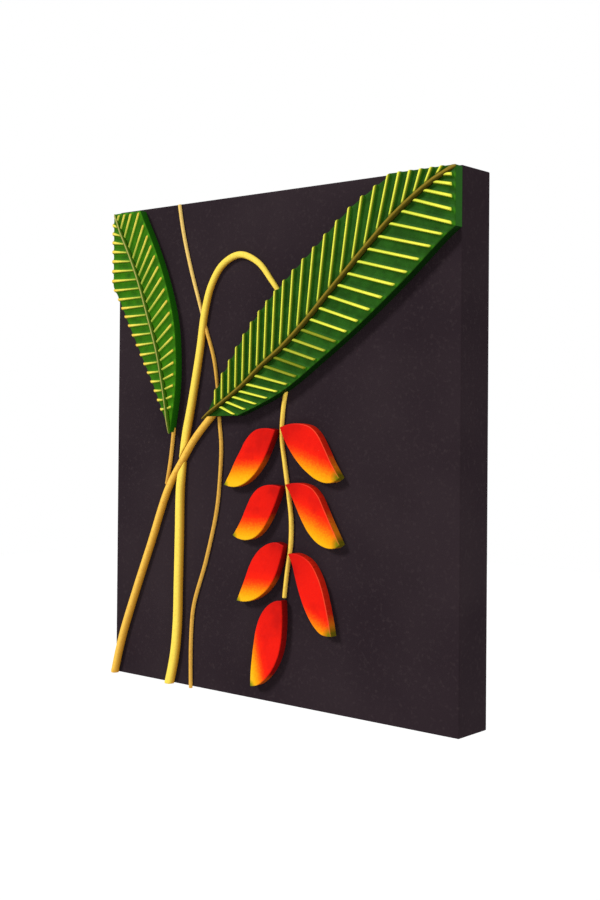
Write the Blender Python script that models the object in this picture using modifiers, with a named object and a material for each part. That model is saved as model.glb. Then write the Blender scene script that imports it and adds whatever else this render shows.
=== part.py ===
"""Relief wall panel: a deep-edged box panel with carved leaves, stems and a hanging spray of bracts.

Frame: X to the right, Z up, the front faces -Y and the wall is the plane Y = 0. The origin is the point
where the hanger rests on its wall hook. The relief is laid out in millimetres from the lower left corner of
the panel's front: u to the right, v up, h out from the panel.
"""
import math

import bmesh
import bpy
import numpy as np

MM = 0.001
GAP = 0.3

# Panel: a face board on four rails, open at the back
WIDTH, HEIGHT, DEPTH = 400.0, 450.0, 40.0
BOARD = 6.0
RAIL = 20.0
ARRIS = 0.6

# Sawtooth hanger, let into the back of the top rail
HANG_V = 440.0
HANGER_WIDTH, HANGER_HEIGHT, HANGER_SHEET = 45.0, 8.0, 0.8
HANGER_DEPTH = 1.3
TOOTH_COUNT, TOOTH_PITCH, TOOTH_DEPTH = 9, 3.4, 1.3
NAIL_X, NAIL_Z = 19.3, 3.4
NAIL_HEAD, NAIL_HEAD_SHEET, NAIL_SHANK, NAIL_LENGTH = 2.0, 0.6, 0.7, 10.0
REBATE_MARGIN = 0.8
POCKET_WIDTH, POCKET_LOW, POCKET_HIGH, POCKET_DEPTH = 31.0, -7.0, 3.0, 8.0

# Stems: half round strips with flat backs. Routes are (u, v, width); rise is the height at full width
STALK_LOWER = [(76.9, -4, 9.2), (84.9, 27, 9.2), (88.2, 55, 9.2), (89.1, 98, 9), (89.9, 140, 9),
               (90.4, 180, 8.8), (94, 216, 8.6)]
STALK_UPPER = [(91.6, 198, 8.7), (94.9, 222, 8.5), (104.9, 265, 8), (114.4, 312, 7.4), (120, 346, 7),
               (128.2, 371, 6.6), (142.4, 389, 6.4), (163.5, 396.5, 6.2), (185.5, 388, 5.4),
               (201.5, 371, 4.8), (212, 358.5, 4.6), (219, 349, 4.5)]
PETIOLE_RIGHT = [(0.2, -4, 7.8), (11.8, 35, 8), (30.8, 82, 7.8), (50.8, 128, 7.6), (74.2, 182, 7.4),
                 (92, 208, 7.2), (109, 230, 7), (136, 255.5, 7)]
PETIOLE_LEFT = [(80, 240, 3.6), (76.3, 212, 3.6), (71, 186, 3.6)]
VINE_TOP = [(84.6, 449.5, 3.2), (90.4, 422, 3.2), (100.5, 388, 3.2), (112.4, 355, 3.2), (118, 340, 3.2)]
VINE_MIDDLE = [(118, 340, 3.2), (121.4, 330, 3.2), (131.2, 304, 3.3), (136.3, 278, 3.3), (138, 262, 3.3)]
VINE_LOWER = [(138, 262, 3.3), (139, 248, 3.3), (141.6, 225, 3.4), (140.7, 198, 3.4), (136.7, 165, 3.4),
              (123.6, 118, 3.4), (108.2, 75, 3.4), (105.2, 48, 3.4), (105.2, -1.8, 3.4)]
RACHIS = [(221.5, 283, 3.8), (219.8, 275, 3.8), (216.7, 260, 3.8), (215.1, 244, 3.9), (215.3, 230, 3.9),
          (218.1, 213, 4), (221.5, 194, 4), (224.1, 180, 4.1), (226.5, 164, 4.2), (226.9, 150, 4.2),
          (226.1, 138, 4.1), (224.1, 126, 4), (221.6, 110, 3.9), (219.3, 93, 3.8)]
STEM_STEP = 8.0
STEM_FOOT = -0.8

# Leaves: the midrib's route, and rib stations (rib number, place on the midrib, tip u, tip v). The right
# leaf's stations are placed by u and the left leaf's by v. Tips past the panel's edge are sawn off with it.
LEAF_RIGHT = {
    "midrib": [(130, 250.5), (150, 262), (176, 278), (200, 296), (224, 312), (250, 333), (272, 353.4),
               (290, 369.5), (314, 391), (340, 413), (368, 432), (405, 453)],
    "placed_by": 0,
    "sides": [
        (23, [(1, 152, 152, 289.4), (5, 185.6, 187, 334.2), (9, 221, 224.6, 368.8), (12, 251, 258, 395),
              (15, 287.2, 296, 425), (18, 324.2, 336, 447.8), (20, 349.5, 362, 465), (23, 381.5, 398, 464)]),
        (25, [(1, 147, 169, 251.4), (5, 178.5, 220, 272), (9, 221.8, 262.5, 298.4), (13, 261.8, 308, 329.2),
              (17, 302, 357, 366.6), (20, 334.6, 390.5, 394.4), (22, 358, 411, 409.3), (25, 387, 430, 437)])],
    "corner": (430, 464),
    "sawn_top": 449.0,
    "tail": 7.0,
    "rise": 13.0, "lamina": 10.0, "rib_foot": 3.0, "rib_top": 1.7,
    "channel": 4.4, "channel_floor": 9.0, "strip_rise": 14.5}
LEAF_LEFT = {
    "midrib": [(80.6, 234.5), (77.4, 256), (73.6, 275), (69.3, 293), (64.8, 310), (58.5, 328), (53, 342),
               (47.5, 356), (42, 370), (35.5, 385), (28.5, 399), (21.5, 412), (14.5, 424), (7, 437),
               (-3, 452.5)],
    "placed_by": 1,
    "sides": [
        (21, [(1, 257, 85.6, 260), (3, 275.2, 88, 280), (5, 293.3, 88.4, 301.5), (8, 319, 85, 337.5),
              (11, 348, 75, 371.5), (14, 374.5, 61, 404), (17, 399.5, 44.4, 434.5), (19, 421, 30.5, 458),
              (21, 438.5, 16.5, 466)]),
        (21, [(1, 257, 70, 256.4), (4, 283.4, 56.4, 282.6), (7, 310.5, 41, 308.4), (10, 338, 24, 337),
              (13, 364, 9, 363), (15, 381.4, -3, 381.6), (18, 408, -14, 411.5), (21, 433, -14, 441.5)])],
    "corner": (-14, 466),
    "sawn_top": 447.5,
    "tail": 0.5,
    "rise": 10.5, "lamina": 8.5, "rib_foot": 2.4, "rib_top": 1.3,
    "channel": 3.6, "channel_floor": 7.5, "strip_rise": 11.5}
OUTLINE_STEP = 8.0
MIDRIB_STEP = 12.0
OVERSHOOT = 1.35
PAST_TIP = 3.0
INSIDE_CHANNEL = 0.4

# Bracts: upper and lower edge, both from the base at the flower stem to the free tip
BRACT_RISE, BRACT_ROUND = 8.0, 1.4
BRACTS = {
    "bract_right_1": (
        [(217.9, 241.5), (229, 244.6), (241, 245), (252, 242.6), (260, 236.5), (268, 224.8), (276, 211.5),
         (284.5, 200)],
        [(217.9, 241.5), (222.5, 232), (229, 222.5), (237.2, 213), (247, 204.8), (258.5, 198), (269, 195.2),
         (278, 196.2), (284.5, 200)]),
    "bract_right_2": (
        [(224.6, 192), (235, 193.8), (245, 193.4), (254, 190.6), (261.5, 184), (268.5, 172.5),
         (276, 159.5), (285.5, 144)],
        [(224.6, 192), (230, 185), (236.5, 174), (244.5, 160.5), (252.5, 150.5), (261.5, 143.6),
         (271, 140.4), (280, 140.8), (285.5, 144)]),
    "bract_right_3": (
        [(228.6, 132.5), (237, 133.2), (245, 131.4), (253, 127), (260, 118.6), (266, 107), (270.6, 93),
         (274, 80), (277, 66.5)],
        [(228.6, 132.5), (233, 124), (237, 112), (243, 96), (250.5, 82), (258.3, 72.5), (266.5, 67),
         (277, 66.5)]),
    "bract_left_1": (
        [(212.4, 239.2), (203, 240.6), (191, 239.4), (183, 235), (177, 229), (171, 220), (165, 211),
         (159, 200.5), (151.6, 189)],
        [(212.4, 239.2), (208, 229.8), (202.9, 219.7), (196.8, 209.6), (188, 199.5), (178, 192),
         (168, 188), (160, 187.4), (151.6, 189)]),
    "bract_left_2": (
        [(219.4, 190), (209, 191.2), (199, 189.8), (191, 186), (185, 180), (180, 172), (174, 160.5),
         (168, 151), (162.8, 144.2)],
        [(219.4, 190), (213, 175), (206, 162), (198, 151), (190, 144.5), (180, 141), (170, 141.5),
         (162.8, 144.2)]),
    "bract_left_3": (
        [(223.3, 139), (215, 141.3), (205, 139.3), (195, 133.5), (188, 126), (183, 118), (178, 106.5),
         (173, 96), (168.4, 86.4)],
        [(223.3, 139), (218, 122), (212, 109), (205, 100), (197, 93.5), (187, 88.3), (177, 86.2),
         (168.4, 86.4)]),
    "bract_end": (
        [(221.5, 91), (215, 90.4), (207, 86.5), (200, 80), (195, 72), (191.5, 62), (189, 49), (187, 35),
         (185.8, 22), (185.8, 12.5)],
        [(221.5, 91), (222.4, 78), (222, 64), (220.5, 52), (217, 41), (211, 30), (203, 21), (194, 14.5),
         (185.8, 12.5)])}
BRACT_STEP = 5.5

for old in list(bpy.data.objects):
    bpy.data.objects.remove(old, do_unlink=True)

parts = bpy.data.collections.new("relief_wall_panel")
cutters = bpy.data.collections.new("cutters")
bpy.context.scene.collection.children.link(parts)
bpy.context.scene.collection.children.link(cutters)

# The relief hangs on this empty, which turns (u, v, h) into the object's frame
front = bpy.data.objects.new("panel_front", None)
front.location = (-WIDTH / 2 * MM, -DEPTH * MM, -HANG_V * MM)
front.rotation_euler = (math.pi / 2, 0, 0)
parts.objects.link(front)


def paint(name, colour, roughness, metallic=0.0):
    """Principled material, colour in linear RGB."""
    material = bpy.data.materials.new(name)
    material.use_nodes = True
    shader = material.node_tree.nodes["Principled BSDF"]
    shader.inputs["Base Color"].default_value = (*colour, 1)
    shader.inputs["Roughness"].default_value = roughness
    shader.inputs["Metallic"].default_value = metallic
    return material


dark_paint = (0.030, 0.022, 0.027)
leaf_paint = (0.022, 0.115, 0.010)
stem_paint = (0.72, 0.50, 0.10)
bract_paint = (0.80, 0.035, 0.012)


def smooth(points, step):
    """Points about one step apart on a smooth open curve through the given points."""
    points = np.asarray(points, float)
    knots = np.concatenate(([0], np.cumsum(np.sqrt(np.hypot(*np.diff(points[:, :2], axis=0).T)))))
    fine = hermite(knots, points, np.linspace(0, knots[-1], 400))
    run = np.concatenate(([0], np.cumsum(np.hypot(*np.diff(fine[:, :2], axis=0).T))))
    places = np.linspace(0, run[-1], max(2, round(run[-1] / step)) + 1)
    return np.stack([np.interp(places, run, column) for column in fine.T], axis=-1)


def hermite(knots, values, at):
    """Cubic through the values at the knots, its tangents taken from the neighbouring chords."""
    knots = np.asarray(knots, float)
    values = np.asarray(values, float)
    span = np.diff(knots)[:, None]
    slope = np.diff(values, axis=0) / span
    tangent = np.empty_like(values)
    tangent[1:-1] = (slope[:-1] * span[1:] + slope[1:] * span[:-1]) / (span[:-1] + span[1:])
    tangent[0] = 1.5 * slope[0] - 0.5 * tangent[1]
    tangent[-1] = 1.5 * slope[-1] - 0.5 * tangent[-2]
    i = np.clip(np.searchsorted(knots, at, side="right") - 1, 0, len(knots) - 2)
    s = (at - knots[i])[:, None] / span[i]
    start = (1 + 2 * s) * (1 - s) ** 2 * values[i] + s * (1 - s) ** 2 * span[i] * tangent[i]
    end = s * s * (3 - 2 * s) * values[i + 1] + s * s * (s - 1) * span[i] * tangent[i + 1]
    return start + end


def link(thing, collection, material=None, parent=None):
    """Put an object in its collection; cutters are only drawn as wire."""
    collection.objects.link(thing)
    thing.parent = parent
    if material:
        thing.data.materials.append(material)
    if collection is cutters:
        thing.hide_render = True
        thing.display_type = "WIRE"
    return thing


def spline(curve, points, cyclic, radii=None):
    """Add a POLY spline through points given in millimetres."""
    line = curve.splines.new("POLY")
    line.points.add(len(points) - 1)
    for index, (point, place) in enumerate(zip(line.points, points)):
        point.co = (place[0] * MM, place[1] * MM, 0, 1)
        if radii is not None:
            point.radius = radii[index]
    line.use_cyclic_u = cyclic


def meshed(curve_object, collection, material=None):
    """Make a curve object a welded mesh in the same place."""
    bpy.context.view_layer.update()
    evaluated = curve_object.evaluated_get(bpy.context.evaluated_depsgraph_get())
    mesh = bpy.data.meshes.new_from_object(evaluated)
    bm = bmesh.new()
    bm.from_mesh(mesh)
    bmesh.ops.remove_doubles(bm, verts=bm.verts, dist=GAP * MM / 100)
    bmesh.ops.recalc_face_normals(bm, faces=bm.faces)
    bm.to_mesh(mesh)
    bm.free()
    name, parent = curve_object.name, curve_object.parent
    local = curve_object.matrix_local.copy()
    bpy.data.objects.remove(curve_object)
    piece = link(bpy.data.objects.new(name, mesh), collection, material, parent)
    piece.matrix_local = local
    return piece


def plate(name, outlines, low, high, collection, material=None, parent=front):
    """Flat board of a filled outline between two heights over the panel's front."""
    curve = bpy.data.curves.new(name, "CURVE")
    curve.dimensions = "2D"
    curve.fill_mode = "BOTH"
    curve.extrude = (high - low) / 2 * MM
    for outline in outlines:
        spline(curve, outline, True)
    board = link(bpy.data.objects.new(name, curve), collection, None, parent)
    board.location.z = (low + high) / 2 * MM
    return meshed(board, collection, material)


def section(name, points):
    """Closed section that a strip's bevel follows, one millimetre wide at radius 1."""
    curve = bpy.data.curves.new(name, "CURVE")
    curve.dimensions = "2D"
    spline(curve, points, True)
    return link(bpy.data.objects.new(name, curve), cutters)


def strip(name, route, step, profile, collection, material=None, seat=GAP):
    """Strip along a route (u, v, width), its section scaled to the width."""
    places = smooth(route, step)
    curve = bpy.data.curves.new(name, "CURVE")
    curve.dimensions = "3D"
    curve.twist_mode = "Z_UP"
    curve.bevel_mode = "OBJECT"
    curve.bevel_object = profile
    curve.use_fill_caps = True
    spline(curve, places, False, places[:, 2])
    thing = link(bpy.data.objects.new(name, curve), collection, None, front)
    thing.location.z = seat * MM
    return meshed(thing, collection, material)


def half_round(name, rise):
    """Flat-backed section with a rounded top, rise given as a share of the width."""
    angles = np.radians([-14, 36, 90, 144, 194])
    top = [(0.5 * math.cos(a), rise * (0.36 + 0.64 * math.sin(a))) for a in angles]
    return section(name, [(0.43, 0)] + top + [(-0.43, 0)])


def cut(piece, cutter, operation="DIFFERENCE"):
    """Exact Boolean of a piece with one cutter."""
    modifier = piece.modifiers.new(cutter.name, "BOOLEAN")
    modifier.operation = operation
    modifier.solver = "EXACT"
    modifier.object = cutter


def block(name, centre, size, collection, material=None, parent=None, arris=0.0):
    """Box primitive with its scale applied, and small bevels where it has an arris."""
    bm = bmesh.new()
    bmesh.ops.create_cube(bm, size=1)
    bmesh.ops.scale(bm, vec=[side * MM for side in size], verts=bm.verts)
    mesh = bpy.data.meshes.new(name)
    bm.to_mesh(mesh)
    bm.free()
    box = link(bpy.data.objects.new(name, mesh), collection, material, parent)
    box.location = [place * MM for place in centre]
    if arris:
        bevel = box.modifiers.new("arris", "BEVEL")
        bevel.width = arris * MM
        bevel.segments = 1
    return box


def rod(name, radius, length, centre, collection, material=None, sides=16):
    """Cylinder primitive along Y."""
    bm = bmesh.new()
    bmesh.ops.create_cone(bm, cap_ends=True, segments=sides, radius1=radius * MM, radius2=radius * MM,
                          depth=length * MM)
    mesh = bpy.data.meshes.new(name)
    bm.to_mesh(mesh)
    bm.free()
    cylinder = link(bpy.data.objects.new(name, mesh), collection, material)
    cylinder.location = [place * MM for place in centre]
    cylinder.rotation_euler = (math.pi / 2, 0, 0)
    return cylinder


# Face board and the rails behind it, butted with the side rails full height
low_z, high_z = -HANG_V, HEIGHT - HANG_V
middle_z = (low_z + high_z) / 2
block("face_board", (0, -DEPTH + BOARD / 2, middle_z), (WIDTH, BOARD, HEIGHT), parts,
      paint("face_board_paint", dark_paint, 0.7), arris=ARRIS)
rail_depth = DEPTH - BOARD - GAP
for side, name in ((-1, "rail_left"), (1, "rail_right")):
    block(name, (side * (WIDTH - RAIL) / 2, -rail_depth / 2, middle_z), (RAIL, rail_depth, HEIGHT), parts,
          paint(name + "_paint", dark_paint, 0.7), arris=ARRIS)
across = WIDTH - 2 * (RAIL + GAP)
block("rail_bottom", (0, -rail_depth / 2, low_z + RAIL / 2), (across, rail_depth, RAIL), parts,
      paint("rail_bottom_paint", dark_paint, 0.7), arris=ARRIS)
rail_top = block("rail_top", (0, -rail_depth / 2, high_z - RAIL / 2), (across, rail_depth, RAIL), parts,
                 paint("rail_top_paint", dark_paint, 0.7), arris=ARRIS)

# Hanger plate: straight top edge, a row of teeth below, two nail holes. Its middle notch is at the origin
half = HANGER_WIDTH / 2
teeth = [(-half, -TOOTH_DEPTH)]
for number in range(TOOTH_COUNT):
    notch = (number - (TOOTH_COUNT - 1) / 2) * TOOTH_PITCH
    teeth += [(notch - TOOTH_PITCH * 0.45, -TOOTH_DEPTH), (notch, 0), (notch + TOOTH_PITCH * 0.45, -TOOTH_DEPTH)]
teeth += [(half, -TOOTH_DEPTH), (half, HANGER_HEIGHT - TOOTH_DEPTH), (-half, HANGER_HEIGHT - TOOTH_DEPTH)]
turn = np.linspace(0, 2 * math.pi, 16, endpoint=False)
holes = [np.stack([x + (NAIL_SHANK + GAP) * np.cos(turn), NAIL_Z + (NAIL_SHANK + GAP) * np.sin(turn)], -1)
         for x in (-NAIL_X, NAIL_X)]
hanger = plate("hanger", [teeth, *holes], HANGER_DEPTH, HANGER_DEPTH + HANGER_SHEET, parts,
               paint("hanger_steel", (0.62, 0.60, 0.56), 0.35, 1.0), parent=None)
hanger.rotation_euler = (math.pi / 2, 0, 0)
hanger.location = (0, -(HANGER_DEPTH + HANGER_SHEET / 2) * MM, 0)

rebate_floor = HANGER_DEPTH + HANGER_SHEET + GAP
rebate_low, rebate_high = -TOOTH_DEPTH - REBATE_MARGIN, HANGER_HEIGHT - TOOTH_DEPTH + REBATE_MARGIN
cut(rail_top, block("rebate", (0, -rebate_floor / 2 + 1, (rebate_low + rebate_high) / 2),
                    (HANGER_WIDTH + 2 * REBATE_MARGIN, rebate_floor + 2, rebate_high - rebate_low), cutters))
cut(rail_top, block("hook_pocket", (0, -POCKET_DEPTH / 2 + 1, (POCKET_LOW + POCKET_HIGH) / 2),
                    (POCKET_WIDTH, POCKET_DEPTH + 2, POCKET_HIGH - POCKET_LOW), cutters))
for x, name in ((-NAIL_X, "hanger_nail_left"), (NAIL_X, "hanger_nail_right")):
    head_top = HANGER_DEPTH - GAP
    head = rod(name, NAIL_HEAD, NAIL_HEAD_SHEET, (x, -head_top + NAIL_HEAD_SHEET / 2, NAIL_Z), parts,
               paint(name + "_steel", (0.62, 0.60, 0.56), 0.35, 1.0))
    shank = rod(name + "_shank", NAIL_SHANK, NAIL_LENGTH,
                (x, -head_top + NAIL_HEAD_SHEET / 2 - NAIL_LENGTH / 2, NAIL_Z), cutters, sides=12)
    cut(head, shank, "UNION")
    cut(rail_top, rod(name + "_hole", NAIL_SHANK + GAP, NAIL_LENGTH + 2,
                      (x, -head_top - NAIL_LENGTH / 2, NAIL_Z), cutters, sides=12))


def past_tip(leaf, length):
    """The point this far out from the leaf's tip along its midrib, as a list of one."""
    away = np.subtract(leaf["midrib"][0], leaf["midrib"][1])
    return [np.add(leaf["midrib"][0], away / np.hypot(*away) * length)]


def rib_lines(leaf, side):
    """Bases on the midrib and tips on the outline of one side's ribs, with a blank line at each end."""
    count, stations = leaf["sides"][side]
    stations = np.asarray(stations, float)
    axis = leaf["placed_by"]
    midrib = smooth([(*point, 0) for point in leaf["midrib"]], 1.0)[:, :2]
    read = hermite(stations[:, 0], stations[:, 1:], np.arange(1.0, count + 1))
    order = np.argsort(midrib[:, axis])
    base = np.stack([np.interp(read[:, 0], midrib[order, axis], midrib[order, k]) for k in (0, 1)], -1)
    reach = read[:, 1:] - base
    base = np.concatenate([past_tip(leaf, PAST_TIP), base, midrib[-1:]])
    reach = np.concatenate([reach[:1], reach, reach[-1:]])
    return base, reach


def leaf_outline(leaf):
    """Closed outline through the midrib's start and the rib tips of both sides."""
    edges = []
    for count, stations in leaf["sides"]:
        tips = np.asarray(stations, float)[:, 2:]
        edges.append(smooth(tips, OUTLINE_STEP))
    return np.concatenate([leaf["midrib"][:1], edges[0], [leaf["corner"]], edges[1][::-1]])


def fields(name, leaf):
    """Cutter of all the sunk fields between a leaf's ribs: one tapered block each, so ribs have sloped sides."""
    bm = bmesh.new()
    above = leaf["rise"] + 1
    slope = (leaf["rib_top"] - leaf["rib_foot"]) / 2 / (leaf["rise"] - leaf["lamina"])
    levels = {-1: (leaf["lamina"], leaf["rib_foot"] / 2),
              1: (above, leaf["rib_foot"] / 2 + slope * (above - leaf["lamina"]))}
    for side in (0, 1):
        base, reach = rib_lines(leaf, side)
        along = reach / np.hypot(*reach.T)[:, None]
        travel = base[1] - base[0]
        hand = np.sign(travel[0] * along[0][1] - travel[1] * along[0][0])
        inner = base + along * leaf["channel"] * INSIDE_CHANNEL
        outer = base + reach * OVERSHOOT
        for i in range(len(base) - 1):
            field = bmesh.ops.create_cube(bm, size=2)["verts"]
            for corner in field:
                later = corner.co.x * hand > 0
                rib = i + later
                inward = np.array([along[rib][1], -along[rib][0]]) * hand * (-1 if later else 1)
                level, clear = levels[round(corner.co.z)]
                blank = rib in (0, len(base) - 1)
                place = (outer if corner.co.y > 0 else inner)[rib] + inward * (0 if blank else clear)
                corner.co = (place[0] * MM, place[1] * MM, level * MM)
    mesh = bpy.data.meshes.new(name)
    bm.to_mesh(mesh)
    bm.free()
    return link(bpy.data.objects.new(name, mesh), cutters, None, front)


square = section("square_section", [(0.5, 0), (0.5, 1), (-0.5, 1), (-0.5, 0)])
square_and_left = section("square_and_left_section", [(0.5, 0), (0.5, 1), (-3, 1), (-3, 0)])
square_and_right = section("square_and_right_section", [(3, 0), (3, 1), (-0.5, 1), (-0.5, 0)])
thick_stem = half_round("thick_stem_section", 0.72)
thin_stem = half_round("thin_stem_section", 0.80)

# Leaves: a board of the outline, sawn off at the panel's edges, with the fields and the midrib's channel sunk
outlines = {}
for name, leaf in (("leaf_right", LEAF_RIGHT), ("leaf_left", LEAF_LEFT)):
    outlines[name] = leaf_outline(leaf)
    carved = plate(name, [outlines[name]], GAP, leaf["rise"], parts, paint(name + "_green", leaf_paint, 0.5))
    sawn = block(name + "_sawn", (WIDTH / 2, leaf["sawn_top"] / 2, leaf["rise"]),
                 (WIDTH, leaf["sawn_top"], 4 * leaf["rise"]), cutters, None, front)
    route = [(*point, leaf["channel"]) for point in past_tip(leaf, PAST_TIP) + leaf["midrib"]]
    channel = strip(name + "_channel", route, MIDRIB_STEP, square, cutters, seat=leaf["channel_floor"])
    cut(carved, sawn, "INTERSECT")
    cut(carved, fields(name + "_fields", leaf))
    cut(carved, channel)
    width = leaf["channel"] - 2 * GAP
    route = [(*point, width) for point in past_tip(leaf, leaf["tail"]) + leaf["midrib"]]
    seat = leaf["channel_floor"] + GAP
    bar = half_round(name + "_midrib_section", (leaf["strip_rise"] - seat) / width)
    midrib = strip(name + "_midrib", route, MIDRIB_STEP, bar, parts,
                   paint(name + "_midrib_olive", (0.30, 0.26, 0.05), 0.5), seat=seat)
    cut(midrib, sawn, "INTERSECT")


def clearance(name, route, profile=square):
    """Tall cutter that clears a stem by the gap, and takes all that lies to one side where its section does."""
    wide = [(u, v, width + 2 * GAP) for u, v, width in route]
    return strip(name, wide, STEM_STEP, profile, cutters, seat=-1)


def leaf_clearance(name, outline):
    """Tall cutter of a leaf's outline, grown by the gap."""
    ahead = np.roll(outline, -1, axis=0) - outline
    normal = np.stack([ahead[:, 1], -ahead[:, 0]], -1) / np.hypot(*ahead.T)[:, None]
    corner = normal + np.roll(normal, 1, axis=0)
    corner /= (corner * normal).sum(axis=1)[:, None]
    turning = np.sign((outline[:, 0] * np.roll(outline[:, 1], -1) - np.roll(outline[:, 0], -1) * outline[:, 1]).sum())
    return plate(name, [outline + turning * GAP * corner], -1, 20, cutters)


# Stems: the right leaf's stem runs through; the others are cut where they meet it, the stalk or a leaf
near_right = leaf_clearance("leaf_right_clearance", outlines["leaf_right"])
near_left = leaf_clearance("leaf_left_clearance", outlines["leaf_left"])
left_of_petiole = clearance("left_of_petiole", PETIOLE_RIGHT, square_and_left)
right_of_petiole = clearance("right_of_petiole", PETIOLE_RIGHT, square_and_right)
near_stalk = clearance("stalk_clearance", STALK_UPPER)
below = block("sawn_foot", (WIDTH / 4, STEM_FOOT - 10, 0), (WIDTH, 20, 30), cutters, None, front)
stems = (
    ("stalk_lower", STALK_LOWER, thick_stem, (left_of_petiole, below)),
    ("stalk_upper", STALK_UPPER, thick_stem, (right_of_petiole, near_right)),
    ("petiole_right", PETIOLE_RIGHT, thick_stem, (near_right, below)),
    ("petiole_left", PETIOLE_LEFT, thin_stem, (right_of_petiole, near_left)),
    ("vine_top", VINE_TOP, thin_stem, (near_stalk,)),
    ("vine_middle", VINE_MIDDLE, thin_stem, (near_stalk, near_right)),
    ("vine_lower", VINE_LOWER, thin_stem, (near_right,)),
    ("rachis", RACHIS, thin_stem, (near_right,)))
for name, route, profile, neighbours in stems:
    stem = strip(name, route, STEM_STEP, profile, parts, paint(name + "_yellow", stem_paint, 0.55))
    for neighbour in neighbours:
        cut(stem, neighbour)

# Bracts: thick boards with a rounded front edge
for name, (upper, lower) in BRACTS.items():
    upper_edge = smooth(upper, BRACT_STEP)
    lower_edge = smooth(lower, BRACT_STEP)
    outline = np.concatenate([upper_edge, lower_edge[-2:0:-1]])
    bract = plate(name, [outline], GAP, BRACT_RISE, parts, paint(name + "_red", bract_paint, 0.45))
    bm = bmesh.new()
    bm.from_mesh(bract.data)
    face = max(vertex.co.z for vertex in bm.verts)
    rim = [edge for edge in bm.edges
           if all(vertex.co.z > face - GAP * MM for vertex in edge.verts)
           and any(abs(side.normal.z) < 0.5 for side in edge.link_faces)]
    bmesh.ops.bevel(bm, geom=rim, offset=BRACT_ROUND * MM, segments=2, profile=0.5, affect="EDGES",
                    clamp_overlap=True)
    bm.to_mesh(bract.data)
    bm.free()
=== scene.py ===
"""Relief wall panel: a dark box panel with carved, painted leaves, stems and bracts glued on its front.

Lengths in the tables are millimetres from the lower left corner of the panel's front: u to the right, v up,
h out from the panel. The row's frame has X to the right, Z up, the wall at Y = 0 and the origin at the hanger.
"""
import math

import bpy
import mathutils
import numpy as np
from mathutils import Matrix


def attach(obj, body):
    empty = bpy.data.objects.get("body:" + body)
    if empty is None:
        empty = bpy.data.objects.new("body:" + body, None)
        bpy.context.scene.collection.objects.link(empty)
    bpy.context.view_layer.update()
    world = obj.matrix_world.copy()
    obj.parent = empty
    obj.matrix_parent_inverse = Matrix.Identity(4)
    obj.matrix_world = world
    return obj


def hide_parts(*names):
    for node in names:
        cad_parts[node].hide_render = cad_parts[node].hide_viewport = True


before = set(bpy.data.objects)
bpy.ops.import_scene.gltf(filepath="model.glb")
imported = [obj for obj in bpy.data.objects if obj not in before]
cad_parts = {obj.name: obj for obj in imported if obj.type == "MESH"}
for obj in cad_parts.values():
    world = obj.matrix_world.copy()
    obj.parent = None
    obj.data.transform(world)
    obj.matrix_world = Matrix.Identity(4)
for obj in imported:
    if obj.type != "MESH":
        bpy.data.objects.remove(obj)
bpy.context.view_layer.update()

# Panel: a deep box of board on softwood rails, filled, sanded and rolled with matte charcoal emulsion that
# has a breath of aubergine in it. The edges are eased by hand. The joints are filled, so none of them shows.
PANEL_WIDTH, PANEL_HEIGHT, PANEL_DEPTH = 400.0, 450.0, 40.0
HANG_V = 440.0
PANEL_ARRIS, PANEL_RAIL, PANEL_BOARD = 1.2, 20.0, 6.0


def linear(hex_colour):
    """sRGB hex to linear RGBA: the standard curve, with its straight foot."""
    parts = [int(hex_colour[i:i + 2], 16) / 255 for i in (0, 2, 4)]
    return [c / 12.92 if c <= 0.04045 else ((c + 0.055) / 1.055) ** 2.4 for c in parts] + [1.0]


def add(material, kind, links=(), **settings):
    """Add a node; settings name its sockets or properties, and links give socket name and source socket."""
    node = material.node_tree.nodes.new(kind)
    for name, value in settings.items():
        label = name.replace("_", " ")
        socket = node.inputs.get(label) or node.inputs.get(label.title())
        if socket and not hasattr(node, name):
            socket.default_value = value
        else:
            setattr(node, name, value)
    for name, source in links:
        material.node_tree.links.new(node.inputs[name], source)
    return node


def finish(name, roughness, specular=0.03):
    """Empty painted finish and its shader; constants sit on the shader's own sockets."""
    material = bpy.data.materials.new(name)
    material.use_nodes = True
    shader = material.node_tree.nodes["Principled BSDF"]
    shader.inputs["Roughness"].default_value = roughness
    shader.inputs["Specular IOR Level"].default_value = specular
    return material, shader


def ramp(material, source, stops):
    """Colour ramp over stops of place and hex colour."""
    node = add(material, "ShaderNodeValToRGB", [("Fac", source)])
    bands = node.color_ramp.elements
    while len(bands) < len(stops):
        bands.new(0.5)
    for band, (place, colour) in zip(bands, stops):
        band.position = place
        band.color = linear(colour)
    return node.outputs["Color"]


def mix(material, share, first, second, blend="MIX"):
    """Mix two colours, each a socket or a hex string, by a share that is a socket or a number."""
    node = add(material, "ShaderNodeMix", data_type="RGBA", blend_type=blend, clamp_result=True)
    for index, value in ((6, first), (7, second)):
        if isinstance(value, str):
            node.inputs[index].default_value = linear(value)
        else:
            material.node_tree.links.new(node.inputs[index], value)
    if isinstance(share, (int, float)):
        node.inputs[0].default_value = share
    else:
        material.node_tree.links.new(node.inputs[0], share)
    return node.outputs[2]


def spread(material, source, low, high):
    """Map a value from low..high to 0..1, clamped."""
    node = add(material, "ShaderNodeMapRange", [("Value", source)])
    node.inputs["From Min"].default_value = low
    node.inputs["From Max"].default_value = high
    return node.outputs["Result"]


def mottle(material, size, detail=3.0, low=0.35, high=0.65):
    """Noise in Object coordinates with features of this many millimetres, spread to 0..1."""
    place = add(material, "ShaderNodeTexCoord").outputs["Object"]
    noise = add(material, "ShaderNodeTexNoise", [("Vector", place)], Scale=1000.0 / size, Detail=detail)
    return spread(material, noise.outputs["Fac"], low, high)


def coat(material, shader, colour):
    """Give the shader its colour."""
    material.node_tree.links.new(shader.inputs["Base Color"], colour)


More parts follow.
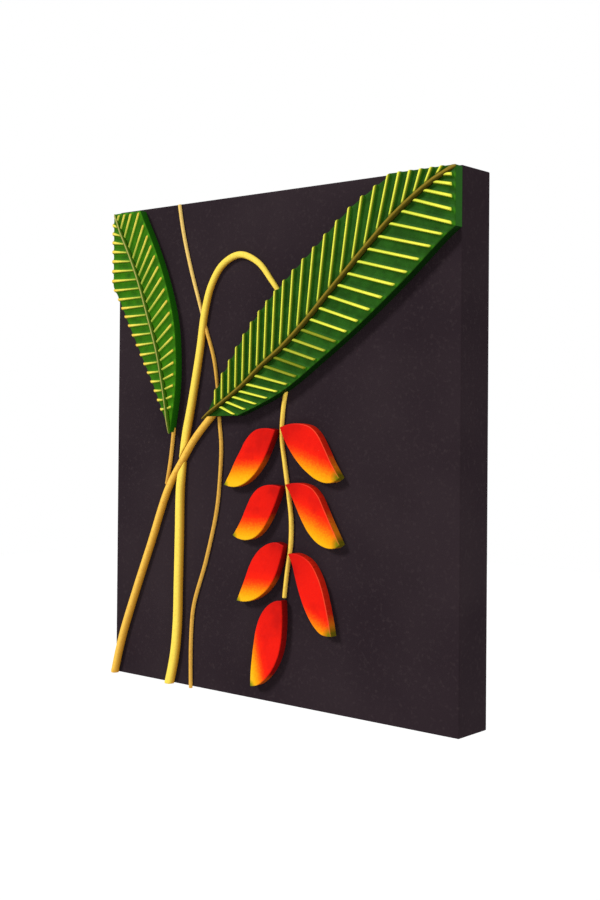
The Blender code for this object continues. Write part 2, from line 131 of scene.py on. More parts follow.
def relief(material, shader, height, depth):
    """Bump of this many millimetres from a 0..1 height."""
    bump = add(material, "ShaderNodeBump", [("Height", height)], Distance=depth / 1000.0)
    material.node_tree.links.new(shader.inputs["Normal"], bump.outputs["Normal"])


# Rolled emulsion: dull, with a fine orange-peel stipple about 1.5 mm across and faint lap marks
charcoal, shader = finish("charcoal_emulsion_rolled", 0.8, 0.04)
laps = mix(charcoal, mottle(charcoal, 90.0, 2.0, 0.3, 0.7), "21181d", "281f23")
flecks = mix(charcoal, mottle(charcoal, 3.0, 4.0, 0.55, 0.8), laps, "2e2528")
coat(charcoal, shader, flecks)
relief(charcoal, shader, mottle(charcoal, 1.5, 2.0), 0.05)


def placed(name, points, faces, material, replaced, smooth=True, sharp=None, values=None):
    points = np.asarray(points, float)
    u, v, h = points[:, 0], points[:, 1], points[:, 2]
    place = np.stack([u - PANEL_WIDTH / 2, -PANEL_DEPTH - h, v - HANG_V], -1) / 1000.0
    mesh = bpy.data.meshes.new(name)
    mesh.from_pydata(place.tolist(), [], faces)
    for label, column in (values or {}).items():
        layer = mesh.attributes.new(label, "FLOAT", "POINT")
        layer.data.foreach_set("value", np.ascontiguousarray(column, dtype=np.float32))
    mesh.polygons.foreach_set("use_smooth", np.full(len(mesh.polygons), smooth))
    if sharp:
        mesh.set_sharp_from_angle(angle=math.radians(sharp))
    mesh.materials.append(material)
    piece = bpy.data.objects.new(name, mesh)
    bpy.context.scene.collection.objects.link(piece)
    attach(piece, "root")
    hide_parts(*replaced)
    return piece


def tube_faces(rows, columns, turn=False):
    """Quads of a grid of rows whose columns close on themselves, and a cap at each end."""
    index = np.arange(rows * columns).reshape(rows, columns)
    nexts = np.roll(index, -1, axis=1)
    quads = np.stack([index[:-1], nexts[:-1], nexts[1:], index[1:]], -1).reshape(-1, 4)
    caps = [index[0][::-1].tolist(), index[-1].tolist()]
    if turn:
        return quads[:, ::-1].tolist() + [cap[::-1] for cap in caps]
    return quads.tolist() + caps


def panel_ring(inset, h, steps=6):
    """The panel's outline, drawn in by the inset, at height h, its corners turned on a small radius."""
    radius = max(PANEL_ARRIS - inset, 0.05)
    angles = np.linspace(0, np.pi / 2, steps)
    half = np.array([PANEL_WIDTH, PANEL_HEIGHT]) / 2
    ring = []
    for quarter in range(4):
        sign = np.array([(1, 1), (-1, 1), (-1, -1), (1, -1)][quarter])
        centre = half + sign * (half - inset - radius)
        turned = angles + quarter * np.pi / 2
        ring.append(centre + radius * np.stack([np.cos(turned), np.sin(turned)], -1))
    ring = np.concatenate(ring)
    return np.column_stack([ring, np.full(len(ring), h)])


ease = np.linspace(0, np.pi / 2, 6)
profile = [(PANEL_ARRIS * (1 - np.sin(a)), PANEL_ARRIS * (np.cos(a) - 1)) for a in ease]
profile += [(0, -PANEL_DEPTH + 0.6), (0.6, -PANEL_DEPTH), (PANEL_RAIL, -PANEL_DEPTH), (PANEL_RAIL, -PANEL_BOARD)]
rings = [panel_ring(inset, h) for inset, h in profile]
case = placed("panel_case", np.concatenate(rings), tube_faces(len(rings), len(rings[0]), True), charcoal,
              ("face_board", "rail_left", "rail_right", "rail_bottom", "rail_top"))

# The back of the top rail has a rebate for the hanger and, below its teeth, a pocket for the hook. Both are cut
# with a chisel before painting. The boxes give their corners in millimetres from the hanger's middle notch.
recesses = [((-23.3, -2.4, -2.1), (23.3, 2, 7.5)), ((-15.5, -8, -7), (15.5, 2, 3))]
cutters = []
for low, high in recesses:
    corners = [[(low, high)[bit >> k & 1][k] / 1000 for k in range(3)] for bit in range(8)]
    cutter_mesh = bpy.data.meshes.new("recess")
    cutter_mesh.from_pydata(corners, [], [(0, 2, 3, 1), (4, 5, 7, 6), (0, 1, 5, 4), (2, 6, 7, 3), (0, 4, 6, 2),
                                          (1, 3, 7, 5)])
    cutter = bpy.data.objects.new("recess", cutter_mesh)
    bpy.context.scene.collection.objects.link(cutter)
    cutters.append(cutter)
    carve = case.modifiers.new("recess", "BOOLEAN")
    carve.operation, carve.solver, carve.object = "DIFFERENCE", "EXACT", cutter
carved = bpy.data.meshes.new_from_object(case.evaluated_get(bpy.context.evaluated_depsgraph_get()))
case.modifiers.clear()
case.data = carved
for cutter in cutters:
    bpy.data.objects.remove(cutter)
carved.set_sharp_from_angle(angle=math.radians(40))

# Sawtooth hanger and its two nails: zinc-plated mild steel, pressed from strip, dull grey with a faint
# spangle a few millimetres across. It lies in a rebate in the back of the top rail, under two flat-headed nails.
zinc, shader = finish("zinc_plated_steel", 0.38, 0.5)
shader.inputs["Metallic"].default_value = 1.0
spangle = mix(zinc, mottle(zinc, 2.5, 1.0), "b9b8b2", "d0cec6")
coat(zinc, shader, spangle)
relief(zinc, shader, mottle(zinc, 0.6, 2.0), 0.02)
for name in ("hanger", "hanger_nail_left", "hanger_nail_right"):
    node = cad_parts[name]
    node.data.materials.clear()
    node.data.materials.append(zinc)

# Leaves: two boards of close-grained wood, sawn to the leaf's outline and flush with the panel's edges. The
# fields between the ribs are cut down by 2 to 3 mm with a gouge, and the ribs that stay are rounded over.
# Glued on flat, then brushed green, with the ribs picked out in yellow.
GLUE_GAP = 0.3
LEAF_RIGHT = {
    "midrib": [(130, 250.5), (150, 262), (176, 278), (200, 296), (224, 312), (250, 333), (272, 353.4),
               (290, 369.5), (314, 391), (340, 413), (368, 432), (400, 449)],
    "placed_by": 0,
    "sides": [
        (23, [(1, 152, 152, 289.4), (5, 185.6, 187, 334.2), (9, 221, 224.6, 368.8), (12, 251, 258, 395),
              (15, 287.2, 296, 425), (18, 324.2, 336, 447.8), (20, 349.5, 362, 465), (23, 381.5, 398, 464)]),
        (25, [(1, 147, 169, 251.4), (5, 178.5, 220, 272), (9, 221.8, 262.5, 298.4), (13, 261.8, 308, 329.2),
              (17, 302, 357, 366.6), (20, 334.6, 390.5, 394.4), (22, 358, 411, 409.3), (25, 387, 430, 437)])],
    "box": (0, 400, 449), "tail": 4.5,
    "rise": 13.0, "lamina": 10.0, "rib": 3.3, "channel": 4.4, "floor": 9.0, "strip": 14.5,
    "first_rib": (0, 1), "margin": (0.0, 2.4), "spread_end": (0.0, 0.0), "shade": (1, -1)}
LEAF_LEFT = {
    "midrib": [(80.6, 234.5), (77.4, 256), (73.6, 275), (69.3, 293), (64.8, 310), (58.5, 328), (53, 342),
               (47.5, 356), (42, 370), (35.5, 385), (28.5, 399), (21.5, 412), (14.5, 424), (7, 437), (0, 447.5)],
    "placed_by": 1,
    "sides": [
        (21, [(1, 257, 85.6, 260), (3, 275.2, 88, 280), (5, 293.3, 88.4, 301.5), (8, 319, 85, 337.5),
              (11, 348, 75, 371.5), (14, 374.5, 61, 404), (17, 399.5, 44.4, 434.5), (19, 421, 30.5, 458),
              (21, 438.5, 16.5, 466)]),
        (21, [(1, 257, 70, 256.4), (4, 283.4, 56.4, 282.6), (7, 310.5, 41, 308.4), (10, 338, 24, 337),
              (13, 364, 9, 363), (15, 381.4, -3, 381.6), (18, 408, -14, 411.5), (21, 433, -14, 441.5)])],
    "box": (0, 400, 447.5), "tail": 0.5,
    "rise": 10.5, "lamina": 8.5, "rib": 2.3, "channel": 3.6, "floor": 7.5, "strip": 11.5,
    "first_rib": (1, 1), "margin": (1.7, 0.0), "spread_end": (0.15, 0.6), "shade": (1, -1)}


def hermite(knots, values, at):
    """Cubic through values at the knots, tangents from the neighbouring chords."""
    knots, values = np.asarray(knots, float), np.asarray(values, float)
    span = np.diff(knots)[:, None]
    slope = np.diff(values, axis=0) / span
    tangent = np.empty_like(values)
    tangent[1:-1] = (slope[:-1] * span[1:] + slope[1:] * span[:-1]) / (span[:-1] + span[1:])
    tangent[0] = 1.5 * slope[0] - 0.5 * tangent[1]
    tangent[-1] = 1.5 * slope[-1] - 0.5 * tangent[-2]
    i = np.clip(np.searchsorted(knots, at, side="right") - 1, 0, len(knots) - 2)
    s = (at - knots[i])[:, None] / span[i]
    start = (1 + 2 * s) * (1 - s) ** 2 * values[i] + s * (1 - s) ** 2 * span[i] * tangent[i]
    return start + s * s * (3 - 2 * s) * values[i + 1] + s * s * (s - 1) * span[i] * tangent[i + 1]


def smooth_path(points, count):
    """Evenly spaced points on a smooth open curve through the given ones."""
    points = np.asarray(points, float)
    knots = np.concatenate(([0], np.cumsum(np.sqrt(np.hypot(*np.diff(points[:, :2], axis=0).T)))))
    fine = hermite(knots, points, np.linspace(0, knots[-1], 1200))
    run = np.concatenate(([0], np.cumsum(np.hypot(*np.diff(fine[:, :2], axis=0).T))))
    return np.stack([np.interp(np.linspace(0, run[-1], count), run, column) for column in fine.T], -1)


def tangents(path):
    """Unit direction of travel at every point of a path."""
    travel = np.gradient(path, axis=0)
    return travel / np.hypot(*travel.T)[:, None]


def sideways(path):
    """Unit direction to the right of a path at every point of it."""
    travel = tangents(path)
    return np.stack([travel[:, 1], -travel[:, 0]], -1)


def read_at(path, at):
    """Points of a path, or values kept along it, at these fractional places."""
    return np.stack([np.interp(at, np.arange(len(path)), path[:, k]) for k in (0, 1)], -1)


def leaf_side(leaf, side, midrib):
    """Rib number and outline point for every point of the midrib, on one side.

    Between the stations the number and the tip run smoothly; past the last rib the direction stays as it was,
    before the first one the tip closes in on the leaf's point. Where the line leaves the panel it is sawn off.
    """
    count, stations = leaf["sides"][side]
    stations = np.asarray(stations, float)
    axis = leaf["placed_by"]
    along = np.arange(len(midrib), dtype=float)
    order = np.argsort(midrib[:, axis])
    numbers = np.arange(1.0, count + 1)
    read = hermite(stations[:, 0], stations[:, 1:], numbers)
    rooted = np.interp(read[:, 0], midrib[order, axis], along[order])
    pitch_in, pitch_out = rooted[1] - rooted[0], rooted[-1] - rooted[-2]
    roots = np.concatenate([[rooted[0] - pitch_in * 9], rooted, [rooted[-1] + pitch_out * 9]])
    number = np.interp(along, roots, np.concatenate([[-8.0], numbers, [count + 9.0]]))
    tip = hermite(stations[:, 0], stations[:, 1:], np.clip(number, 1, count))[:, 1:]
    at_last = np.array([np.interp(rooted[-1], along, midrib[:, k]) for k in (0, 1)])
    beyond = number > count
    tip[beyond] = midrib[beyond] + (read[-1, 1:] - at_last)
    before = number < 1
    share = (along[before] / rooted[0])[:, None]
    tip[before] = midrib[0] + (read[0, 1:] - midrib[0]) * share
    low_u, high_u, high_v = leaf["box"]
    reach = tip - midrib
    keep = np.ones(len(midrib))
    for limit, k, sign in ((low_u, 0, -1), (high_u, 0, 1), (high_v, 1, 1)):
        outward = reach[:, k] * sign > 1e-9
        room = (limit - midrib[:, k]) / np.where(outward, reach[:, k], 1)
        keep = np.where(outward, np.minimum(keep, np.clip(room, 0, 1)), keep)
    return number, midrib + reach * keep[:, None], count, keep < 0.999


LEAF_ALONG, LEAF_ACROSS, LEAF_END_ROWS = 1200, 30, 4
EDGE_ROUND = 0.9


def leaf_surface(leaf):
    """Closed leaf: a ring of points for every point of the midrib.

    Across one side, P = base + t (edge - base) with t from 0 at the midrib to 1 at the outline. The height is the
    lamina's, plus a rounded rib where the rib number is near a whole one, less a shallow hollow between ribs, less
    a quarter round at the edge. The ring goes down the side's wall and back under the leaf.
    """
    columns = LEAF_ALONG
    midrib = smooth_path(leaf["midrib"], columns)
    halves, values = [], []
    for side in (0, 1):
        number, edge, count, trimmed = leaf_side(leaf, side, midrib)
        reach = edge - midrib
        length = np.maximum(np.hypot(*reach.T), 0.02)
        travel = tangents(midrib)
        lean = np.abs(reach[:, 0] * travel[:, 1] - reach[:, 1] * travel[:, 0]) / length
        start = np.minimum(leaf["channel"] / 2 / np.maximum(length * lean, 0.02), 0.55)
        finish_at = np.maximum(1 - EDGE_ROUND / length, start + 0.02)
        field = np.linspace(0, 1, LEAF_ACROSS)
        t = start[:, None] + (finish_at - start)[:, None] * field
        rounding = np.sin(np.linspace(0, np.pi / 2, 6))[1:]
        t = np.concatenate([np.zeros((columns, 1)), start[:, None], t,
                            finish_at[:, None] + (1 - finish_at)[:, None] * rounding], axis=1)
        place = midrib[:, None] + t[..., None] * reach[:, None]
        nearest = np.clip(np.round(number), leaf["first_rib"][side], count)
        root_pitch = np.hypot(*np.gradient(midrib, axis=0).T) / np.maximum(np.gradient(number), 1e-6)
        tip_pitch = np.hypot(*np.gradient(edge, axis=0).T) / np.maximum(np.gradient(number), 1e-6)
        pitch = root_pitch[:, None] * lean[:, None] * (1 - t) + np.minimum(tip_pitch, 14)[:, None] * 0.85 * t
        off = np.abs(number - nearest)[:, None] * np.clip(pitch, 2.5, 12)
        rib_wide = leaf["rib"] * (0.9 + leaf["spread_end"][side] * t ** 2)
        bump = np.sqrt(np.clip(1 - (off / (rib_wide / 2)) ** 2, 0, 1))
        flank = off / (rib_wide / 2) * np.sign(number - nearest)[:, None] * leaf["shade"][side]
        foot = np.clip(1 - off / (leaf["rib"] * 0.75), 0, 1)
        bump = np.maximum(bump, 0.35 * foot ** 2)
        bump *= np.clip((t - start[:, None]) * length[:, None] / 0.8 + 0.35, 0, 1)
        if leaf["margin"][side]:
            bump *= np.clip(((1 - t) * length[:, None] - leaf["margin"][side]) / 0.7, 0, 1)
        hollow = np.clip(off / 3.5, 0, 1) ** 2 * (1 - bump)
        height = leaf["lamina"] + (leaf["rise"] - leaf["lamina"]) * bump - 0.35 * hollow
        near_edge = np.clip((1 - t) * length[:, None], 0, EDGE_ROUND)
        height -= EDGE_ROUND - np.sqrt(np.maximum(EDGE_ROUND ** 2 - (EDGE_ROUND - near_edge) ** 2, 0))
        height[:, :2] = leaf["floor"]
        wall = np.concatenate([place[:, -1:], place[:, -1:]], axis=1)
        wall_height = np.stack([height[:, -1] * 0.5, np.full(columns, GLUE_GAP)], -1)
        halves.append((np.concatenate([place, wall], axis=1), np.concatenate([height, wall_height], axis=1)))
        extra = np.zeros((columns, 2))
        rib_here = np.concatenate([bump, extra], axis=1)
        values.append({
            "rib": rib_here,
            "near_rib": np.concatenate([np.clip(1 - off / 3.2, 0, 1), extra], axis=1),
            "out": np.concatenate([t, extra + 1], axis=1),
            "edge_mm": np.concatenate([(1 - t) * length[:, None], extra - 1], axis=1),
            "rib_number": np.repeat(number[:, None], rib_here.shape[1], axis=1),
            "side": np.full_like(rib_here, side),
            "flank": np.concatenate([flank, extra], axis=1),
            "trimmed": np.repeat(trimmed[:, None], rib_here.shape[1], axis=1)})
    rings = np.concatenate([halves[0][0][:, ::-1], halves[1][0][:, 1:]], axis=1)
    heights = np.concatenate([halves[0][1][:, ::-1], halves[1][1][:, 1:]], axis=1)
    keep = slice(LEAF_END_ROWS, columns - LEAF_END_ROWS)
    points = np.dstack([rings, heights])[keep]
    joined = {key: np.concatenate([values[0][key][:, ::-1], values[1][key][:, 1:]], axis=1)[keep].ravel()
              for key in values[0]}
    rows, across = points.shape[:2]
    first = halves[0][0][columns // 2, -1] - midrib[columns // 2]
    middle = midrib[columns // 2 + 1] - midrib[columns // 2]
    turn = middle[0] * first[1] - middle[1] * first[0] > 0
    return points.reshape(-1, 3), tube_faces(rows, across, not turn), joined


def attribute(material, name):
    """Value of one of the piece's own attributes."""
    return add(material, "ShaderNodeAttribute", attribute_name=name).outputs["Fac"]


def calculate(material, operation, first, second=0.5):
    """Math node on sockets or numbers."""
    node = add(material, "ShaderNodeMath", operation=operation, use_clamp=operation in ("MULTIPLY", "ADD"))
    for index, value in enumerate((first, second)):
        if isinstance(value, (int, float)):
            node.inputs[index].default_value = value
        else:
            material.node_tree.links.new(node.inputs[index], value)
    return node.outputs["Value"]


def leaf_paint(name, dark, mid, bright, walls, rib_tip, rib_root, rib_end, rib_shade, dull_stops):
    """Brushed satin acrylic: green lamina lighter beside the ribs, yellow ribs with painted shade on one flank,
    side walls darkened with painted shade.

    A rib's colour goes from rib_root to rib_tip, and to rib_end over its last fifth. walls gives the colours of
    the side wall along the leaf's own outline, darkened there with painted shade, and where the panel's edge
    trims it. dull_stops gives rib numbers of the second side, each with the share by which its rib fades to
    rib_shade, the colour of the painted shade on the ribs' flanks.
    """
    paint, shader = finish(name, 0.5)
    ground = mix(paint, mottle(paint, 9.0, 4.0), dark, mid)
    ground = mix(paint, spread(paint, attribute(paint, "near_rib"), 0.1, 0.9), ground, bright)
    rib = mix(paint, spread(paint, attribute(paint, "out"), 0.15, 0.7), rib_root, rib_tip)
    rib = mix(paint, mottle(paint, 2.4, 3.0, 0.5, 0.8), rib, rib_root)
    rib = mix(paint, spread(paint, attribute(paint, "out"), 0.78, 1.0), rib, rib_end)
    if dull_stops:
        numbers = [number for number, _ in dull_stops]
        place = spread(paint, attribute(paint, "rib_number"), numbers[0], numbers[-1])
        greys = [((number - numbers[0]) / (numbers[-1] - numbers[0]), f"{round(share * 255):02x}" * 3)
                 for number, share in dull_stops]
        dull = calculate(paint, "MULTIPLY", ramp(paint, place, greys), attribute(paint, "side"))
        rib = mix(paint, dull, rib, rib_shade)
    # Painted shade: each rib's flank away from the light is darkened to rib_shade.
    shade = spread(paint, attribute(paint, "flank"), 0.35, 0.7)
    rib = mix(paint, shade, rib, rib_shade)
    colour = mix(paint, spread(paint, attribute(paint, "rib"), 0.3, 0.6), ground, rib)
    # Side walls: darkened with painted shade along the leaf's outline, lighter green where the panel's edge trims
    # the leaf.
    wall = mix(paint, attribute(paint, "trimmed"), *walls)
    colour = mix(paint, spread(paint, attribute(paint, "edge_mm"), 0.25, -0.1), colour, wall)
    coat(paint, shader, colour)
    relief(paint, shader, mottle(paint, 1.2, 3.0), 0.05)
    return paint


# Leaf paints: the dark first wall colour and the olive rib_shade are painted shade.
right_green = leaf_paint("satin_acrylic_green_right_leaf", "1a400a", "225011", "2f680e", ("0a2407", "225018"),
                         "dedc4a", "c6ce40", "d8d848", "6d7416",
                         [(5.0, 0.0), (6.0, 0.55), (7.0, 0.93), (8.0, 0.99), (9.0, 0.80), (10.0, 0.75),
                          (11.0, 0.96), (11.6, 0.3), (12.0, 0.0)])
left_green = leaf_paint("satin_acrylic_green_left_leaf", "265606", "306a06", "438410", ("154a08", "225a10"),
                        "dccc50", "a4ae40", "dcb040", "6c7014", [])
for name, leaf, paint in (("leaf_right", LEAF_RIGHT, right_green), ("leaf_left", LEAF_LEFT, left_green)):
    points, faces, values = leaf_surface(leaf)
    placed(name + "_carved", points, faces, paint, (name,), sharp=50, values=values)

# Midribs: rounded strips of the same wood, about 4 mm wide, glued into a shallow groove along each leaf. The
# right one runs a little past the leaf's point. Brushed olive-brown, with painted shade darkening the right-hand
# side.


def swept(route, widths, outline, starts=0.0, ends=None, columns_along=260):
    """Strip along a route: every point of its section runs on its own line beside the route.

    outline gives (side, height) of each section point as a share of the width; starts and ends give, for each
    of them, where its line begins and stops along the route.
    """
    count = len(route)
    ends = count - 1.0 if ends is None else ends
    share = np.linspace(0, 1, columns_along)[:, None]
    at = starts + (np.asarray(ends) - starts) * share + np.zeros((1, len(outline)))
    width = np.interp(at, np.arange(count), widths)
    flat = read_at(route, at) + read_at(sideways(route), at) * (outline[:, 0] * width)[..., None]
    return flat, outline[:, 1] * width, at


def girth(section):
    """Share of the way round a section from its right foot, 0, to its left foot, 1."""
    run = np.concatenate(([0], np.cumsum(np.hypot(*np.diff(section, axis=0).T))))
    return run / run[-1]


def half_round(rise, points=26):
    """Section with a flat back, short upright sides and an elliptical top, as shares of the width."""
    angles = np.linspace(math.radians(-18), math.radians(198), points)
    top = np.stack([0.5 * np.cos(angles), rise * (0.36 + 0.64 * np.sin(angles))], -1)
    return np.concatenate([[(0.44, 0.0)], top, [(-0.44, 0.0)]])


def strip_paint(name, foot_dark, shaded, light, turn_from, turn_to, grain, grain_share=0.3):
    """Satin acrylic on a round strip, its light and shade painted in: dark along the right foot, painted shade up
    to the turn, painted light from there on.

    The attribute girth runs from 0 at the right foot to 1 at the left one; fine brush flecks follow the strip.
    """
    paint, shader = finish(name, 0.45)
    base = ramp(paint, attribute(paint, "girth"),
                [(0.0, foot_dark), (turn_from * 0.45, shaded), (turn_from, shaded), (turn_to, light), (1.0, light)])
    flecks = calculate(paint, "MULTIPLY", mottle(paint, 2.2, 4.0, 0.5, 0.75), grain_share)
    coat(paint, shader, mix(paint, flecks, base, grain))
    relief(paint, shader, mottle(paint, 1.0, 3.0), 0.04)
    return paint


# Midrib paints: the dark foot and shaded right side are painted shade, on the left midrib in deep greens.
right_olive = strip_paint("satin_acrylic_olive_right_midrib", "1c2a08", "443c0c", "7c681e", 0.36, 0.46,
                          "5a4c14", 0.4)
left_olive = strip_paint("satin_acrylic_olive_left_midrib", "2a5c08", "38600c", "98944e", 0.37, 0.45,
                         "6a6a26", 0.5)
for name, leaf, paint in (("leaf_right", LEAF_RIGHT, right_olive), ("leaf_left", LEAF_LEFT, left_olive)):
    width = leaf["channel"] - 2 * GLUE_GAP
    seat = leaf["floor"] + GLUE_GAP
    away = np.subtract(leaf["midrib"][0], leaf["midrib"][1])
    tail = np.add(leaf["midrib"][0], away / np.hypot(*away) * leaf["tail"])
    last = np.subtract(leaf["midrib"][-1], leaf["midrib"][-2])
    end = np.add(leaf["midrib"][-1], last / np.hypot(*last) * 4)
    route = smooth_path([tail, *leaf["midrib"], end], 900)
    section = half_round((leaf["strip"] - seat) / width)
    widths = np.full(len(route), width)
    flat, height, at = swept(route, widths, section)
    step = np.hypot(*np.diff(route[:2], axis=0)[0])
    from_start, from_end = at * step, (at.max() - at) * step
    height = height * (0.45 + 0.55 * np.clip(from_start / 14, 0, 1) ** 0.7)
    height = height * (0.10 + 0.90 * np.clip((from_end - 5) / 20, 0, 1) ** 0.8)
    slim = 0.35 + 0.4 * np.clip(from_start / 10, 0, 1) + 0.25 * np.clip(from_start / 150, 0, 1)
    middle = read_at(route, at)
    flat = middle + (flat - middle) * slim[..., None]
    low_u, high_u, high_v = leaf["box"]
    flat[..., 0] = np.clip(flat[..., 0], low_u, high_u)
    flat[..., 1] = np.minimum(flat[..., 1], high_v)
    points = np.dstack([flat, height + seat]).reshape(-1, 3)
    placed(name + "_midrib_strip", points, tube_faces(len(flat), len(section)), paint,
           (name + "_midrib",), sharp=50, values={"girth": np.tile(girth(section), len(flat))})

# Stems: strips of wood planed and sanded half round, bent or cut to their curves, glued on flat. The right
# leaf's stem runs through; the stalk and the left leaf's stem butt to it, and all of them butt to the leaves.
STEM_FOOT = -0.8
STEM_ROUTES = {
    "stalk": [(76.9, -4, 9.2), (84.9, 27, 9.2), (88.2, 55, 9.2), (89.1, 98, 9), (89.9, 140, 9), (90.4, 180, 8.8),
              (92.4, 204, 8.6), (94.9, 222, 8.5), (104.9, 265, 8), (114.4, 312, 7.4), (120, 346, 7),
              (128.2, 371, 6.6), (142.4, 389, 6.4), (163.5, 396.5, 6.2), (185.5, 388, 5.4), (201.5, 371, 4.8),
              (212, 358.5, 4.6), (219, 349, 4.5)],
    "petiole_right": [(0.2, -4, 7.8), (11.8, 35, 8), (30.8, 82, 7.8), (50.8, 128, 7.6), (74.2, 182, 7.4),
                      (92, 208, 7.2), (109, 230, 7), (136, 255.5, 7)],
    "petiole_left": [(80, 240, 3.6), (76.3, 212, 3.6), (71, 186, 3.6)],
    "vine": [(84.6, 449.5, 3.2), (90.4, 422, 3.2), (100.5, 388, 3.2), (112.4, 355, 3.2), (121.4, 330, 3.2),
             (131.2, 304, 3.3), (136.3, 278, 3.3), (138.4, 262, 3.3), (139, 248, 3.3), (141.6, 225, 3.4),
             (140.7, 198, 3.4), (136.7, 165, 3.4), (123.6, 118, 3.4), (108.2, 75, 3.4), (105.2, 48, 3.4),
             (105.2, -1.8, 3.4)],
    "rachis": [(221.5, 283, 3.8), (219.8, 275, 3.8), (216.7, 260, 3.8), (215.1, 244, 3.9), (215.3, 230, 3.9),
               (218.1, 213, 4), (221.5, 194, 4), (224.1, 180, 4.1), (226.5, 164, 4.2), (226.9, 150, 4.2),
               (226.1, 138, 4.1), (224.1, 126, 4), (221.6, 110, 3.9), (219.3, 93, 3.8)]}
STEM_POINTS = 3000
stem_lines = {name: smooth_path(route, STEM_POINTS) for name, route in STEM_ROUTES.items()}
leaf_edges = {}
for name, leaf in (("leaf_right", LEAF_RIGHT), ("leaf_left", LEAF_LEFT)):
    midrib = smooth_path(leaf["midrib"], 1500)
    leaf_edges[name] = np.concatenate([leaf_side(leaf, 0, midrib)[1], leaf_side(leaf, 1, midrib)[1][::-1]])


def in_leaf(points, name):
    """Whether points lie in a leaf's outline: the count of its edges passed to the right is odd."""
    a = leaf_edges[name][::5]
    b = np.roll(a, -1, axis=0)
    x, y = points[..., 0, None], points[..., 1, None]
    spans = (a[:, 1] > y) != (b[:, 1] > y)
    meets = a[:, 0] + (y - a[:, 1]) * (b[:, 0] - a[:, 0]) / np.where(b[:, 1] == a[:, 1], 1, b[:, 1] - a[:, 1])
    return (spans & (x < meets)).sum(axis=-1) % 2 == 1


def from_stem(points, name):
    """Distance of points from a stem's edge."""
    line = stem_lines[name][::20]
    away = np.hypot(points[..., 0, None] - line[:, 0], points[..., 1, None] - line[:, 1])
    return away.min(axis=-1) - line[away.argmin(axis=-1), 2] / 2


def cut_lines(route, widths, section, tests, inner):
    """First and last free place of each section line, walking both ways from the inner point."""
    every = np.arange(0, len(route), 3)
    beside = sideways(route)
    spot = route[every][:, None] + beside[every][:, None] * (section[:, 0] * widths[every, None])[..., None]
    blocked = np.zeros(spot.shape[:2], bool)
    for test in tests:
        blocked |= test(spot)
    middle = np.searchsorted(every, inner)
    after = blocked[middle:]
    before = blocked[:middle][::-1]
    last = np.where(after.any(axis=0), middle + after.argmax(axis=0) - 1, len(every) - 1)
    first = np.where(before.any(axis=0), middle - before.argmax(axis=0), 0)
    return every[first].astype(float), every[last].astype(float)


def stem(name, line, paint, tests, inner, low=0, high=STEM_POINTS, rise=0.72, sanded=()):
    """One stem piece between its cuts, its ends rounded over and sanded down to the stems it meets."""
    route = stem_lines[line][low:high, :2]
    widths = stem_lines[line][low:high, 2]
    section = half_round(rise)
    first, last = cut_lines(route, widths, section, tests, inner - low)
    step = np.hypot(*np.diff(route[:2], axis=0)[0])
    flat, height, at = swept(route, widths, section, first, last)
    middle = read_at(route, at)
    from_end = np.minimum(at - first, last - at) * step
    shrink = 1 - 0.09 * np.sqrt(np.clip(1 - from_end / 0.7, 0, 1))
    flat = middle + (flat - middle) * shrink[..., None]
    if sanded:
        near = np.stack([from_stem(middle, other) for other in sanded]).min(axis=0)
        height = height * (0.80 + 0.20 * np.clip(near / 9, 0, 1))
    points = np.dstack([flat, height * shrink + GLUE_GAP]).reshape(-1, 3)
    placed(name + "_strip", points, tube_faces(len(flat), len(section)), paint, (name,), sharp=50,
           values={"girth": np.tile(girth(section), len(flat))})


def foot(spot):
    """Sawn flush with the panel's bottom edge."""
    return spot[..., 1] < STEM_FOOT


def at_right_leaf(spot):
    """Butts to the right leaf's edge."""
    return in_leaf(spot, "leaf_right")


def at_left_leaf(spot):
    """Butts to the left leaf's edge."""
    return in_leaf(spot, "leaf_left")


def at_petiole(spot):
    """Butts to the right leaf's stem."""
    return from_stem(spot, "petiole_right") < GLUE_GAP


def at_stalk(spot):
    """Butts to the stalk."""
    return from_stem(spot, "stalk") < GLUE_GAP


# Stem paints: each carries painted light and shade across the strip, dark at the right foot, shaded up the right
# side, light over the top and left.
lemon = strip_paint("satin_acrylic_lemon_stalk", "6a4808", "b07f22", "e4c84e", 0.17, 0.34, "c8922c", 0.35)
golden = strip_paint("satin_acrylic_golden_petiole", "403208", "a87420", "deb048", 0.18, 0.46, "b87820", 0.55)
ochre = strip_paint("satin_acrylic_ochre_vine", "4c300a", "8c6018", "cc9c42", 0.24, 0.42, "9a6820", 0.4)
pale_ochre = strip_paint("satin_acrylic_pale_ochre_vine", "5a400e", "a07628", "dab868", 0.24, 0.42, "b08434", 0.4)
straw = strip_paint("satin_acrylic_straw_rachis", "5a4408", "8c6018", "e6c250", 0.36, 0.47, "bc8c34", 0.4)


def place_on(line, v):
    """Index on a stem's line nearest to this height on the panel."""
    return int(np.abs(stem_lines[line][:, 1] - v).argmin())


stem("stalk_lower", "stalk", lemon, (foot, at_petiole), place_on("stalk", 100),
     high=place_on("stalk", 216), sanded=("petiole_right",))
stem("stalk_upper", "stalk", lemon, (at_petiole, at_right_leaf), place_on("stalk", 300),
     low=place_on("stalk", 198), sanded=("petiole_right",))
stem("petiole_right", "petiole_right", golden, (foot, at_right_leaf), place_on("petiole_right", 120))
stem("petiole_left", "petiole_left", ochre, (at_petiole, at_left_leaf), place_on("petiole_left", 215),
     rise=0.8)
stem("vine_top", "vine", pale_ochre, (at_stalk,), place_on("vine", 400), high=place_on("vine", 336),
     rise=0.8)
stem("vine_middle", "vine", ochre, (at_stalk, at_right_leaf), place_on("vine", 300),
     low=place_on("vine", 344), high=place_on("vine", 262), rise=0.8)
stem("vine_lower", "vine", ochre, (at_right_leaf,), place_on("vine", 150), low=place_on("vine", 262),
     rise=0.8)
stem("rachis", "rachis", straw, (at_right_leaf,), place_on("rachis", 150), rise=0.8)

